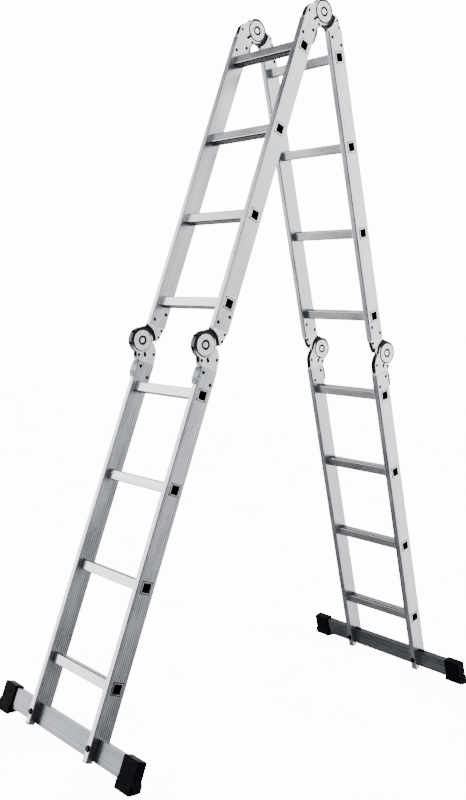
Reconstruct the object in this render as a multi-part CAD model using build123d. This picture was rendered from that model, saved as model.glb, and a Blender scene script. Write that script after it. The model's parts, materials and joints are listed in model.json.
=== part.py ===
# Multi position ladder, standing as a trestle of two straight legs.
# Four hollow-stile sections are joined end to end by three pairs of locking hinges,
# and each floor section carries a wide stabiliser bar on rubber end caps.
#
# Row frame, millimetres: +X across the ladder, -Y the front leg, +Y the back leg, +Z up,
# origin on the floor in the middle of the footprint.
#
# Leg frame: origin on the floor under the stile centreline, +Z up along the leg,
# -Y the leg's outer side.  The back leg is the front leg turned half round about Z.
#
# Hinge frame: X along the pivot, Y from the pivot towards the stile centreline,
# Z from the pivot into the stile that the half is riveted to.
from build123d import *
from math import asin, cos, degrees, radians, sin, tan
import os

# ---- driving dimensions ----
ladder_width = 330.0       # outside of one stile to outside of the other
stile_thick = 21.0         # stile size across the ladder
stile_depth = 61.0         # stile size from the front to the back
stile_wall = 1.5
stile_corner = 3.0         # radius of the stile's long edges
rung_size = 30.0           # square rung tube
rung_wall = 1.6
rung_corner = 3.0
rung_fit = 0.1             # gap round a rung in its hole
rung_pitch = 280.0
rung_count = 4             # rungs in each section
rung_proud = 1.4           # flared rung end past the stile
rung_flare = 34.0          # size of the flared rim that holds a rung in its stile
flare_corner = 6.0
flare_bevel = 0.9
tread_groove = 0.6         # depth of the grooves along the treads
tread_groove_width = 1.6
tread_lines = (-9.0, -3.0, 3.0, 9.0)   # middles of the grooves, across the tread
plug_length = 14.0
plug_set = 2.0             # plug face below the end of the rung
plug_cup = 9.0             # depth of the hollow in the plug
plug_wall = 3.0
plug_cup_corner = 1.0
pivot_to_rung = 140.0      # from a hinge pivot to the nearest rung, along the stile
pivot_to_stile = 61.0      # from a hinge pivot to the end of the stile, along the stile
pivot_offset = 40.0        # from the stile centreline to the hinge pivot
lean = 16.8                # lean of each leg from upright, degrees
sole_to_rung = 210.0       # from the sole to the lowest rung, along the leg
sole_to_stile = 12.0       # from the sole to the bottom of the stile

# hinge plates
plate_thick = 2.0
plate_gap = 0.2            # running gap between the plates of the two halves
core_thick = 2.4
disc_radius = 40.0
concave_radius = 52.0      # hollow edge of the inner half's cover plates
boss_radius = 32.0         # raised pressing round the pivot
boss_height = 2.0
boss_slope = 3.5           # from the top of the pressing to its foot
rivet_radius = 8.0
rivet_bore = 3.0
rivet_flange = 9.2
rivet_flange_height = 1.8
rivet_play = 0.8           # from the rivet flange to the foot of its dished seat
recess_radius = 15.5       # dished seat of the rivet in the boss
hub_radius = 15.0
rim_radius = 31.5          # inside of the toothed rim between the core plates
spot_radius = 4.6          # domed spot rivets on the hinge plates
spot_height = 1.2
spot_inset = 13.5          # spot rivet in from the stile's far face
spot_z = 28.0
ear_radius = 5.6           # lever ears
insert_length = 56.0       # hinge box inside the stile
box_lap = 8.0              # hinge box outside the stile
core_stop = 20.0           # end of the core plates below the end of the hinge box
filler_gap = 1.5           # filler back from the hollow edge of the cover plates
running_fit = 0.05
stile_fit = 0.1            # gap between the hinge box and the stile's inside

# lock bar and release lever
lock_angle = 57.0          # direction of the lock slot from the pivot, degrees
lock_length = 12.0         # lock bar along its slot
lock_width = 8.0
lock_open = 46.5           # middle of the lock bar drawn back, distance from the pivot
lock_shut = 37.5           # middle of the lock bar engaged
lock_proud = 0.6           # end of the lock bar past the plates
lock_clearance = 0.2
lock_end_gap = 0.5         # slot past the lock bar at each end of its travel
strip_length = 8.0         # pull strip behind the lock bar
strip_width = 5.0
strip_thick = 4.0
lever_thick = 2.2
lever_pin_radius = 2.5
lever_pin_stand = 5.0      # lever pin off the stile's narrow face
lever_pin_z = 54.0
lever_top_z = 62.5
lever_end_z = 114.0
lever_bow = 5.0
lever_bow_z = 90.0
lever_off = 2.0            # lever off the stile's narrow face
lever_edge = 1.0           # lever narrower than the stile, each side
lever_play = 0.6           # from the lever's arm to the hinge plates
lever_tip = 0.5            # bend of the lever's end away from the stile
lever_curl = 1.9           # radius of the rolled end
lever_eye = 2.0            # metal round the lever pin
arm_drop = 3.5             # arm below the lever pin
arm_rise = 4.0             # arm up behind the lever
arm_thick = 3.4

# section rivets
blind_radius = 3.2
blind_head = 5.6
blind_head_height = 1.8
blind_bore = 1.7           # hollow left by the mandrel
blind_near_inset = 12.0    # lower rivet in from the stile's near face
blind_near_rise = 16.0     # and up from the end of the stile
blind_far_inset = 13.0
blind_far_rise = 43.0

# stabiliser bars, end caps and feet
bar_length = 690.0
bar_height = 60.0
bar_thick = 20.0
bar_wall = 2.0
bar_bottom = 15.5          # above the sole plane, along the leg
bar_fit = 0.2
bar_grooves = (-26.5, -21.5, -9.0, 9.0, 21.5, 26.5)   # middles of the grooves along the bar's faces
bar_groove_depth = 0.8
bar_groove_width = 1.8
cap_length = 62.0
cap_cover = 5.0            # rubber round and past the bar
cap_flare = 4.5
cap_flare_height = 22.0
cap_toe = 6.0              # flare past the end of the cap
cap_corner = 5.0
cap_bevel = 2.0            # along the top edges
cap_waist_rise = 8.0       # from the flare up to the straight part
cap_lip = 6.0              # from the top of the flare down to its edge
cap_toe_lip = 10.0
cap_bulge = 1.0            # crown of the cap's end
foot_cap_thick = 3.0
foot_cap_edge = 0.3        # foot cap past the stile's faces
foot_cap_inset = 1.5       # foot cap back from the bar
foot_plug_height = 9.0
foot_plug_gap = 0.2
bolt_radius = 4.0
bolt_head = 7.0
bolt_head_height = 4.5
nut_height = 6.0
bolt_past_nut = 2.5

# ---- values worked out from them ----
half_width = ladder_width / 2
stile_x = half_width - stile_thick / 2
section_length = 2 * pivot_to_rung + (rung_count - 1) * rung_pitch
knee_z = sole_to_rung + (rung_count - 1) * rung_pitch + pivot_to_rung
top_z = knee_z + section_length
half_base = top_z * sin(radians(lean)) + pivot_offset * cos(radians(lean))
opening_angle = 2 * lean
lower_span = (sole_to_stile, knee_z - pivot_to_stile)
upper_span = (knee_z + pivot_to_stile, top_z - pivot_to_stile)
stile_in = stile_thick / 2 - stile_wall
plate_out = stile_in - stile_fit
plate_in = plate_out - plate_thick
core_out = plate_in - plate_gap
core_in = core_out - core_thick
near_face = pivot_offset - stile_depth / 2      # hinge frame Y of the stile's pivot-side face
far_face = pivot_offset + stile_depth / 2
lever_pin_y = near_face - lever_pin_stand
box_near = near_face + stile_wall + stile_fit
box_far = far_face - stile_wall - stile_fit
insert_end = pivot_to_stile + insert_length
blind_near = (near_face + blind_near_inset, pivot_to_stile + blind_near_rise)   # hinge frame Y, Z
blind_far = (far_face - blind_far_inset, pivot_to_stile + blind_far_rise)
bar_centre_z = bar_bottom + bar_height / 2
bar_top = bar_bottom + bar_height

front_leg = Pos(0, -half_base, 0) * Rot(-lean, 0, 0)
back_leg = Rot(0, 0, 180) * front_leg

PARTS = {}


def keep(name, shapes):
    """Store one node: a solid, or a group of separate solids."""
    solids = []
    for shape in shapes:
        solids.extend(shape.solids())
    PARTS[name] = Compound(children=solids) if len(solids) > 1 else solids[0]


def slab(outline, inner, outer):
    """Two mirrored plates cut to a Y-Z outline, between the X distances inner and outer."""
    plate = Pos(inner, 0, 0) * extrude(Plane.YZ * outline, outer - inner)
    return plate + mirror(plate, Plane.YZ)


def bar(low, high, size_y, size_z, corner, centre_z):
    """A bar along X with rounded long edges."""
    face = Plane.YZ * RectangleRounded(size_y, size_z, corner)
    return Pos(low, 0, centre_z) * extrude(face, high - low)


def rod(radius, x_from, x_to, y=0.0, z=0.0):
    """A cylinder along X."""
    length = x_to - x_from
    return Pos(x_from + length / 2, y, z) * Rot(0, 90, 0) * Cylinder(radius, length)


def taper(radius_from, radius_to, x_from, x_to):
    """A cone along X, and its mirror image."""
    length = x_to - x_from
    shape = Pos(x_from + length / 2, 0, 0) * Rot(0, 90, 0) * Cone(radius_from, radius_to, length)
    return shape + mirror(shape, Plane.YZ)


def dome(radius, height, x, y, z):
    """A shallow round head on a face at X, and its mirror image."""
    ball = (radius ** 2 + height ** 2) / (2 * height)
    rim = degrees(asin((ball - height) / ball))
    cap = Sphere(ball, rim, 90, align=(Align.CENTER, Align.CENTER, Align.MIN))
    head = Pos(x, y, z) * Rot(0, 90, 0) * cap
    return head + mirror(head, Plane.YZ)


def block(x, y, z):
    """A box between three (low, high) pairs."""
    size = [high - low for low, high in (x, y, z)]
    centre = [(high + low) / 2 for low, high in (x, y, z)]
    return Pos(*centre) * Box(*size)


# ---- where things lie along the leg ----
def rung_heights(upper):
    """Leg frame Z of the rungs in the lower or the upper section."""
    lowest = knee_z + pivot_to_rung if upper else sole_to_rung
    return [lowest + i * rung_pitch for i in range(rung_count)]


def hinge_place(leg, side, top, up):
    """Hinge frame of one half, from its leg, its side (-1, 1), top or knee, and into the stile up or down."""
    y, z = (pivot_offset, top_z) if top else (-pivot_offset, knee_z)
    turn = Rot(180, 0, 0) if top else (Rot(0, 0, 0) if up else Rot(0, 180, 0))
    return leg * Pos(side * stile_x, y, z) * turn


# ---- stiles, rungs and plugs ----
def stile(upper, ends):
    """One hollow stile on the leg's centreline; ends lists (pivot Y, pivot Z, direction) of its hinges."""
    low, high = upper_span if upper else lower_span
    half_d = stile_depth / 2
    body = Pos(0, 0, low) * extrude(RectangleRounded(stile_thick, stile_depth, stile_corner), high - low)
    body -= block((-stile_in, stile_in), (stile_wall - half_d, half_d - stile_wall), (low - 1, high + 1))
    hole = rung_size + 2 * rung_fit
    for z in rung_heights(upper):
        body -= bar(-stile_thick, stile_thick, hole, hole, rung_corner + rung_fit, z)
    for pivot_y, pivot_z, direction in ends:
        inward = -1 if pivot_y > 0 else 1
        for y, z in (blind_near, blind_far):
            place = (pivot_y + inward * y, pivot_z + direction * z)
            body -= rod(blind_radius + running_fit, -stile_thick, stile_thick, *place)
    if not upper:
        slot = bar_thick / 2 + bar_fit
        body -= block((-stile_thick, stile_thick), (-slot, slot), (low - 1, bar_top + bar_fit))
        body -= Pos(0, 0, bar_centre_z) * Rot(90, 0, 0) * Cylinder(bolt_radius + bar_fit, 2 * stile_depth)
    return body


def rung(z):
    """A square tube through both stiles, with flared rims outside them and grooved treads."""
    reach = half_width + rung_proud
    half = rung_size / 2
    inside = half - rung_wall
    body = bar(-reach, reach, rung_size, rung_size, rung_corner, z)
    rim = bar(half_width, reach, rung_flare, rung_flare, flare_corner, z)
    rim = chamfer(rim.faces().sort_by(Axis.X)[-1].edges(), flare_bevel)
    body += rim + mirror(rim, Plane.YZ)
    body -= bar(-reach - 1, reach + 1, 2 * inside, 2 * inside, rung_corner - rung_wall, z)
    groove = half - tread_groove
    clear = half_width - stile_thick
    for y in tread_lines:
        across = (y - tread_groove_width / 2, y + tread_groove_width / 2)
        body -= block((-clear, clear), across, (z + groove, z + half + 1))
        body -= block((-clear, clear), across, (z - half - 1, z - groove))
    return body


def rung_plug(z, side):
    """A hollow plastic plug pressed into the end of a rung, a little below its rim."""
    half = rung_size / 2 - rung_wall - running_fit
    mouth = half - plug_wall
    outer = half_width + rung_proud - plug_set
    span = sorted((side * (outer - plug_length), side * outer))
    cup = sorted((side * (outer - plug_cup), side * (outer + 1)))
    body = bar(*span, 2 * half, 2 * half, rung_corner - rung_wall, z)
    return body - bar(*cup, 2 * mouth, 2 * mouth, plug_cup_corner, z)


# ---- hinge halves, in the hinge frame ----
def hinge_box():
    """The folded box that slides into the stile, without the rivet holes."""
    high = insert_end
    body = block((-plate_out, plate_out), (box_near, box_far), (pivot_to_stile - box_lap, high))
    inner = block((-plate_in, plate_in), (box_near + plate_thick, box_far - plate_thick), (0, high + 1))
    return body - inner


def rivet_holes():
    """Rods through the hinge box for the section rivets."""
    radius = blind_radius + running_fit
    far = rod(radius, -stile_thick, stile_thick, *blind_far)
    return rod(radius, -stile_thick, stile_thick, *blind_near) + far


def lock_gap(low, high):
    """A cut for the lock bar, out along Y between two distances from the pivot."""
    half = lock_width / 2 + lock_clearance
    return block((-stile_thick, stile_thick), (low, high), (-half, half))


def outer_half():
    """Round-ended half: two plates with the raised boss, the lock slots and the lever ears."""
    neck = [
        (lever_pin_y - 3.0, pivot_to_stile - 1.5),
        (-12.0, 30.0),
        (0.0, 0.0),
        (disc_radius - 6.0, -12.0),
        (far_face - 20.5, -1.5),
        (far_face - 12.5, 9.0),
        (far_face - 6.0, 19.5),
        (far_face - 4.0, 30.0),
        (far_face - 3.5, pivot_to_stile - 12),
        (box_far, pivot_to_stile),
        (box_near, pivot_to_stile),
    ]
    outline = make_face(Polyline(*neck, close=True))
    body = slab(outline, plate_in, plate_out)
    body += rod(disc_radius, plate_in, plate_out) + rod(disc_radius, -plate_out, -plate_in)
    body += taper(boss_radius + boss_slope, boss_radius, plate_out, plate_out + boss_height)
    body -= taper(rivet_flange + rivet_play, recess_radius, plate_out, plate_out + boss_height)
    for side in (-1, 1):
        x = side * (plate_in + plate_out) / 2
        body += rod(ear_radius, x - plate_thick / 2, x + plate_thick / 2, lever_pin_y, lever_pin_z)
    body += hinge_box()
    body += dome(spot_radius, spot_height, plate_out, far_face - spot_inset, spot_z)
    body -= rod(rivet_radius + running_fit, -stile_thick, stile_thick)
    body -= rod(lever_pin_radius + running_fit, -stile_thick, stile_thick, lever_pin_y, lever_pin_z)
    body -= rivet_holes()
    reach = lock_length / 2 + lock_end_gap
    return body - Rot(lock_angle, 0, 0) * lock_gap(lock_shut - reach, lock_open + reach)


def inner_half(notch_angles):
    """Hollow-edged half: two cover plates, and a notched core between the plates of the outer half."""
    cover_line = Polyline(
        (box_near, pivot_to_stile),
        (near_face - 3.0, 50.0),
        (near_face - 3.0, 40.0),
        (40.0, 5.0),
        (53.0, 12.0),
        (far_face - 7.0, 34.0),
        (far_face - 5.0, pivot_to_stile - 6),
        (box_far, pivot_to_stile),
        close=True,
    )
    cover = slab(make_face(cover_line), plate_in, plate_out)
    cover -= rod(concave_radius, -stile_thick, stile_thick)
    core_line = Polyline(
        (box_near + plate_thick / 2, insert_end - core_stop),
        (box_near + plate_thick / 2, pivot_to_stile),
        (near_face - 3.0, 51.0),
        (-25.0, 31.2),
        (0.0, 0.0),
        (39.0, 4.0),
        (51.0, 16.0),
        (far_face - 8.0, 36.0),
        (box_far - plate_thick / 2, pivot_to_stile),
        (box_far - plate_thick / 2, insert_end - core_stop),
        close=True,
    )
    core_face = make_face(core_line)
    core = slab(core_face, core_in, core_out)
    core += rod(disc_radius, core_in, core_out) + rod(disc_radius, -core_out, -core_in)
    core += rod(hub_radius, -core_out, core_out)
    core += rod(disc_radius, -core_out, core_out) - rod(rim_radius, -core_out, core_out)
    filler = slab(core_face, core_out, plate_in)
    filler -= rod(concave_radius + filler_gap, -stile_thick, stile_thick)
    body = cover + core + filler + hinge_box()
    body += dome(spot_radius, spot_height, plate_out, far_face - spot_inset, spot_z)
    body -= rod(rivet_radius + running_fit, -stile_thick, stile_thick)
    body -= rivet_holes()
    for angle in notch_angles:
        body -= Rot(angle, 0, 0) * lock_gap(lock_shut - lock_length / 2 - lock_end_gap, concave_radius)
    return body


def pivot_rivet():
    """Hollow rivet through both halves."""
    body = rod(rivet_radius, -plate_out, plate_out)
    body += taper(rivet_flange, rivet_flange - 1.0, plate_out, plate_out + rivet_flange_height)
    return body - rod(rivet_bore, -stile_thick, stile_thick)


def lock_bar():
    """Cross bar in the lock slots, with the pull strip that the lever works, drawn back."""
    half = lock_length / 2
    reach = plate_out + lock_proud
    body = block((-reach, reach), (lock_open - half, lock_open + half), (-lock_width / 2, lock_width / 2))
    strip_x = strip_thick / 2
    strip_z = strip_width / 2
    body += block((-strip_x, strip_x), (lock_open, lock_open + half + strip_length), (-strip_z, strip_z))
    return Rot(lock_angle, 0, 0) * body


def release_lever():
    """Bowed finger lever with its trunnion pin, lying along the stile's narrow face."""
    near = near_face - lever_off
    far = near - lever_thick
    outer = ThreePointArc((far, lever_top_z), (far - lever_bow, lever_bow_z), (far - lever_tip, lever_end_z))
    inner = ThreePointArc((near, lever_top_z), (near - lever_bow, lever_bow_z),
                          (near - lever_tip, lever_end_z))
    ends = [Line(outer @ 0, inner @ 0), Line(outer @ 1, inner @ 1)]
    half = stile_thick / 2 - lever_edge
    pad = slab(make_face(Wire([outer, inner, *ends])), 0.0, half)
    arm_top = lever_top_z + arm_rise
    arm_line = Polyline((lever_pin_y, lever_pin_z - arm_drop), (near + 0.2, lever_pin_z), (near, arm_top),
                        (near - arm_thick, arm_top), (lever_pin_y - 3.0, lever_pin_z - 2), close=True)
    arm_half = plate_in - lever_play
    arm = slab(make_face(arm_line), 0.0, arm_half)
    pin = rod(lever_pin_radius, -plate_out, plate_out, lever_pin_y, lever_pin_z)
    eye = rod(lever_pin_radius + lever_eye, -arm_half, arm_half, lever_pin_y, lever_pin_z)
    curl = rod(lever_curl, -half, half, far + lever_thick / 2 - 0.8, lever_end_z)
    return pad + arm + pin + eye + curl


def blind_rivet(y, z):
    """Section rivet through both stile walls and the hinge box, with domed heads."""
    face = stile_thick / 2
    body = rod(blind_radius, -face, face, y, z) + dome(blind_head, blind_head_height, face, y, z)
    hollow = face - blind_head_height
    body -= rod(blind_bore, hollow, stile_thick, y, z)
    return body - rod(blind_bore, -stile_thick, -hollow, y, z)


# ---- stabiliser bar and feet, in the leg frame ----
def stabiliser_bar():
    """Ribbed hollow bar through the slots in the stiles."""
    half = bar_length / 2
    depth = bar_thick / 2
    body = block((-half, half), (-depth, depth), (bar_bottom, bar_top))
    body -= block((-half - 1, half + 1), (bar_wall - depth, depth - bar_wall),
                  (bar_bottom + bar_wall, bar_top - bar_wall))
    for height in bar_grooves:
        z = bar_centre_z + height
        for side in (-1, 1):
            span = sorted((side * (depth - bar_groove_depth), side * (depth + 1)))
            body -= block((-half - 1, half + 1), span, (z - bar_groove_width / 2, z + bar_groove_width / 2))
    hole = Rot(90, 0, 0) * Cylinder(bolt_radius + bar_fit, 3 * bar_thick)
    for side in (-1, 1):
        body -= Pos(side * stile_x, 0, bar_centre_z) * hole
    return body


def end_cap(side):
    """Rubber cap over one end of the bar, flared at the foot, with a sole that lies flat on the floor."""
    depth = bar_thick / 2 + cap_cover
    wide = depth + cap_flare
    slope = tan(radians(lean))
    waist = cap_flare_height + cap_waist_rise
    lip = cap_flare_height - cap_lip
    top = bar_top + cap_cover
    bevel = cap_bevel
    outline = Polyline(
        (-wide, -wide * slope),
        (wide, wide * slope),
        (wide, lip),
        (depth, waist),
        (depth, top - bevel),
        (depth - bevel, top),
        (bevel - depth, top),
        (-depth, top - bevel),
        (-depth, waist),
        (-wide, lip),
        close=True,
    )
    outer = bar_length / 2 + cap_cover
    start = outer - cap_length
    toe = outer + cap_toe
    side_view = Polyline((start, -wide), (toe, -wide), (toe, cap_flare_height - cap_toe_lip), (outer, waist),
                         (outer, top - bevel), (outer - bevel, top), (start, top), close=True)
    edge = wide - cap_corner
    plan = Polyline((start, -wide), (toe - cap_corner, -wide), (toe - cap_bulge, -edge), (toe, 0.0),
                    (toe - cap_bulge, edge), (toe - cap_corner, wide), (start, wide), close=True)
    body = Pos(start, 0, 0) * extrude(Plane.YZ * make_face(outline), cap_length + cap_toe)
    body &= extrude(Plane.XZ * make_face(side_view), 2 * wide, both=True)
    body &= Pos(0, 0, -wide) * extrude(make_face(plan), top + 2 * wide)
    pocket_y = bar_thick / 2 + bar_fit / 2
    body -= block((start - 1, bar_length / 2 + bar_fit / 2), (-pocket_y, pocket_y),
                  (bar_bottom - bar_fit / 2, bar_top + bar_fit / 2))
    return body if side > 0 else mirror(body, Plane.YZ)


def foot_cap(side, end):
    """Thin plug on one tine of a stile's slotted foot."""
    inner = bar_thick / 2 + foot_cap_inset
    outer = stile_depth / 2 + foot_cap_edge
    half = stile_thick / 2 + foot_cap_edge
    span = sorted((end * inner, end * outer))
    body = block((-half, half), span, (sole_to_stile - foot_cap_thick, sole_to_stile))
    gap = stile_wall + foot_plug_gap
    plug = sorted((end * inner, end * (stile_depth / 2 - gap)))
    body += block((gap - stile_thick / 2, stile_thick / 2 - gap), plug,
                  (sole_to_stile, sole_to_stile + foot_plug_height))
    return Pos(side * stile_x, 0, 0) * body


def bar_bolt(side):
    """Hexagon bolt through the stile's narrow faces and the bar."""
    head_y = -stile_depth / 2
    end_y = stile_depth / 2 + nut_height + bolt_past_nut
    shank = Pos(0, (head_y + end_y) / 2, 0) * Rot(90, 0, 0) * Cylinder(bolt_radius, end_y - head_y)
    head_face = Plane(origin=(0, head_y, 0), z_dir=(0, -1, 0)) * RegularPolygon(bolt_head, 6)
    body = shank + extrude(head_face, bolt_head_height)
    return Pos(side * stile_x, 0, bar_centre_z) * body


def bar_nut(side):
    """Nut on the leg's inner side."""
    face = Plane(origin=(0, stile_depth / 2, 0), z_dir=(0, 1, 0)) * RegularPolygon(bolt_head, 6)
    body = extrude(face, nut_height) - Rot(90, 0, 0) * Cylinder(bolt_radius + running_fit, 4 * stile_depth)
    return Pos(side * stile_x, 0, bar_centre_z) * body


# ---- the assembly ----
sides = {"left": -1, "right": 1}
# section: its leg, and whether it is the upper one
sections = {
    "front_lower": (front_leg, False),
    "front_upper": (front_leg, True),
    "back_upper": (back_leg, True),
    "back_lower": (back_leg, False),
}
# hinge: outer section, inner section, whether it is the top pair, fold from straight at rest
hinges = {
    "front_knee": ("front_lower", "front_upper", False, 0.0),
    "top": ("front_upper", "back_upper", True, 180.0 - opening_angle),
    "back_knee": ("back_lower", "back_upper", False, 0.0),
}
lock_folds = (0.0, 90.0, 180.0 - opening_angle, 180.0)


def side_in_leg(leg, sign):
    """The back leg is turned half round, so its own left is the ladder's right."""
    return sign if leg is front_leg else -sign


for section, (leg, upper) in sections.items():
    z_low, z_high = upper_span if upper else lower_span
    ends = [(-pivot_offset, knee_z, 1 if upper else -1)]
    if upper:
        ends.append((pivot_offset, top_z, -1))
    for name, sign in sides.items():
        place = leg * Pos(side_in_leg(leg, sign) * stile_x, 0, 0)
        keep(f"{section}_stile_{name}", [place * stile(upper, ends)])
    keep(f"{section}_rungs", [leg * rung(z) for z in rung_heights(upper)])
    keep(f"{section}_rung_plugs",
         [leg * rung_plug(z, sign) for z in rung_heights(upper) for sign in sides.values()])
    rivets = []
    for sign in sides.values():
        for pivot_y, pivot_z, direction in ends:
            place = hinge_place(leg, side_in_leg(leg, sign), pivot_y > 0, direction > 0)
            rivets.extend(place * blind_rivet(y, z) for y, z in (blind_near, blind_far))
    keep(f"{section}_section_rivets", rivets)
    if not upper:
        end = section.split("_")[0]
        keep(f"{end}_stabiliser_bar", [leg * stabiliser_bar()])
        for name, sign in sides.items():
            keep(f"{end}_end_cap_{name}", [leg * end_cap(side_in_leg(leg, sign))])
        keep(f"{end}_foot_caps", [leg * foot_cap(s, e) for s in (-1, 1) for e in (-1, 1)])
        keep(f"{end}_bar_bolts", [leg * bar_bolt(s) for s in (-1, 1)])
        keep(f"{end}_bar_nuts", [leg * bar_nut(s) for s in (-1, 1)])

outer_shape = outer_half()
inner_shape = inner_half([-(lock_angle + fold) for fold in lock_folds])
rivet_shape = pivot_rivet()
lock_shape = lock_bar()
lever_shape = release_lever()
for hinge, (outer_section, inner_section, top, fold) in hinges.items():
    outer_leg = sections[outer_section][0]
    inner_leg = sections[inner_section][0]
    pins = []
    for name, sign in sides.items():
        outer_place = hinge_place(outer_leg, side_in_leg(outer_leg, sign), top, False)
        inner_place = hinge_place(inner_leg, side_in_leg(inner_leg, sign), top, not top)
        keep(f"{hinge}_hinge_outer_{name}", [outer_place * outer_shape])
        keep(f"{hinge}_hinge_inner_{name}", [inner_place * inner_shape])
        keep(f"{hinge}_lock_bar_{name}", [outer_place * lock_shape])
        keep(f"{hinge}_release_lever_{name}", [outer_place * lever_shape])
        pins.append(outer_place * rivet_shape)
    keep(f"{hinge}_pivot_rivets", pins)

os.makedirs("parts", exist_ok=True)
for name, shape in PARTS.items():
    export_step(shape, f"parts/{name}.step")
print(len(PARTS), "nodes; knee", round(knee_z, 2), "top", round(top_z, 2), "half base", round(half_base, 3))
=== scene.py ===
"""Finish, small fittings, stage and camera for a multi position ladder that stands as a trestle."""
import json
import math

import bpy
from mathutils import Matrix, Vector


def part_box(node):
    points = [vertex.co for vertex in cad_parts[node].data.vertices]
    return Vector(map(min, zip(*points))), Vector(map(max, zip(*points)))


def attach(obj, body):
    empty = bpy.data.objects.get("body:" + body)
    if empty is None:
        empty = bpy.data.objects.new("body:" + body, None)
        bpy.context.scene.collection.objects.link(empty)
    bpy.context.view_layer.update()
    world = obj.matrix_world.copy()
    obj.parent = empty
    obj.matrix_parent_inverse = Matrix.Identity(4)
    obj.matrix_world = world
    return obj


bl_info = {
    "name": "Multi position ladder finish",
    "version": (1, 0, 0),
    "blender": (4, 5, 0),
    "location": "3D View > Sidebar > Ladder",
    "description": "Gives the trestle ladder its metal, plastic and rubber finishes, fittings and stage",
    "category": "Object",
}

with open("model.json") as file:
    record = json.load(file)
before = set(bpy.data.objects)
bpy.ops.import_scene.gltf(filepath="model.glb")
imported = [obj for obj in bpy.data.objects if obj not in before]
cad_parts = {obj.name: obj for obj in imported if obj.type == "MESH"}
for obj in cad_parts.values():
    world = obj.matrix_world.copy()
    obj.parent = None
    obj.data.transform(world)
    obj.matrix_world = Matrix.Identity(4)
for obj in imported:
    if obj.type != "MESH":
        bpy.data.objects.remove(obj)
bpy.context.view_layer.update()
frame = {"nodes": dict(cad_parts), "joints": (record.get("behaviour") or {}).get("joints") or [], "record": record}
NODES = frame["nodes"]
BODY_OF = {node: body for body, members in frame["record"]["behaviour"]["bodies"].items() for node in members}
JOINTS = {joint["name"]: joint for joint in frame["joints"]}
MM = 0.001
SIDES = {"left": -1.0, "right": 1.0}

# ---- sizes of the ladder that the fittings and finishes sit on ----
PIVOT_OFFSET = 40.0 * MM    # from a hinge pivot to the stile's centreline
PIVOT_TO_RUNG = 140.0 * MM
RUNG_PITCH = 280.0 * MM
RUNG_COUNT = 4              # in each section
RUNG_HALF = 15.0 * MM       # half the size of a rung
RIM_HALF = 17.0 * MM        # half the size of a rung's flared rim
STILE_DEPTH = 61.0 * MM
DISC_RADIUS = 40.0 * MM     # of the round hinge plates
BOSS_RADIUS = 32.0 * MM     # of the raised pressing round the pivot
HINGE_COVER = 6.9 * MM      # inside of the hinge cover plates, from the middle of the stile
HINGE_FACE = 8.9 * MM       # outside of them
STILE_X = sum(corner[0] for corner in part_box("front_lower_stile_right")) / 2
STILE_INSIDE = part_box("front_lower_stile_right")[0][0]
RIDGE_GAP = 1.0 * MM        # between a tread ridge and the stile
KNEE_TO_BAR = 1144.5 * MM   # from the knee pivot to the bolts of the stabiliser bar
# spot rivets of a hinge half from its pivot: towards the stile's centreline, and into the stile
OUTER_SPOTS = ((57.0 * MM, 28.0 * MM), (4.0 * MM, 46.0 * MM))
INNER_SPOTS = ((57.0 * MM, 28.0 * MM), (60.5 * MM, 50.0 * MM))
LEVER_WIDTH = 18.0 * MM
LEVER_BOW_RADIUS = 72.1 * MM
LEVER_CREST = 0.29 * MM     # crest of the lever's bow, towards the centreline from the pivot
LEVER_CREST_Z = 88.9 * MM   # and into the stile
GRIP_START = 9.0 * MM       # from the crest to the first grip ridge
TOP_PIVOT = Vector(JOINTS["top_hinge_close"]["pos_m"])
KNEE_PIVOTS = {end: Vector(JOINTS[f"{end}_knee_fold"]["pos_m"]) for end in ("front", "back")}
LEAN = math.radians(JOINTS["top_hinge_close"]["range_deg"][1]) / 2
HINGES = ("front_knee", "top", "back_knee")

# ---- the metal ----
LINE_RUN = 2600.0 * MM      # length over which a die line keeps its tone
LINE_PITCH = 2.6 * MM       # between the die lines
CLOUD_SIZE = 70.0 * MM      # of the soft cloudiness
CLOUD_DRAW = 0.35           # how much the cloudiness is drawn out along the lines
MARK_SIZE = 6.0 * MM        # of the handling marks
NOISE_LOW, NOISE_HIGH = 0.33, 0.67    # between these a noise value does most of its work
RIM_SHADE_EDGES = (-1.0 * MM, 1.4 * MM)   # painted shade round a rung's rim, from the rim
MOTTLE_SIZE = 11.0 * MM     # of the mottle on the plated steel
# tones of the painted shade in the dish round a pivot, by share of the disc's radius
PIVOT_SHADE_TONES = ((0.2, "#1b1c1e"), (0.28, "#303234"), (0.4, "#ffffff"))
STILE_TURNS = {"front": (LEAN, 0.0, 0.0), "back": (-LEAN, 0.0, 0.0)}   # bring Object Z onto the stiles
ACROSS_TURN = (0.0, math.pi / 2, 0.0)   # brings Object Z onto the rungs and bars

# ---- the studio ----
WHITE = 14.0                # strength that shows as white
SWEEP_EDGE = 0.0            # cosine of the angle from the view to the edge of the white sweep
SWEEP_SLANT = 0.4           # how far that edge leans back with height
SWEEP_TURN = math.radians(-4.0)   # turn of the sweep from the view
SWEEP_HEIGHTS = (-0.36, 0.45)      # sines of the lowest and highest angle of the sweep
SWEEP_STRENGTH = 4.2
FLOOR_SIDE = 14.0           # metres from the ladder to the edge of the floor


def leg_axes(end):
    """Outward and up directions of one leg: end is front or back."""
    way = -1.0 if end == "front" else 1.0
    up = Vector((0.0, -way * math.sin(LEAN), math.cos(LEAN)))
    outward = Vector((0.0, way * math.cos(LEAN), math.sin(LEAN)))
    return outward, up


FRONT_OUT, FRONT_UP = leg_axes("front")
BACK_OUT, BACK_UP = leg_axes("back")
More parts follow.
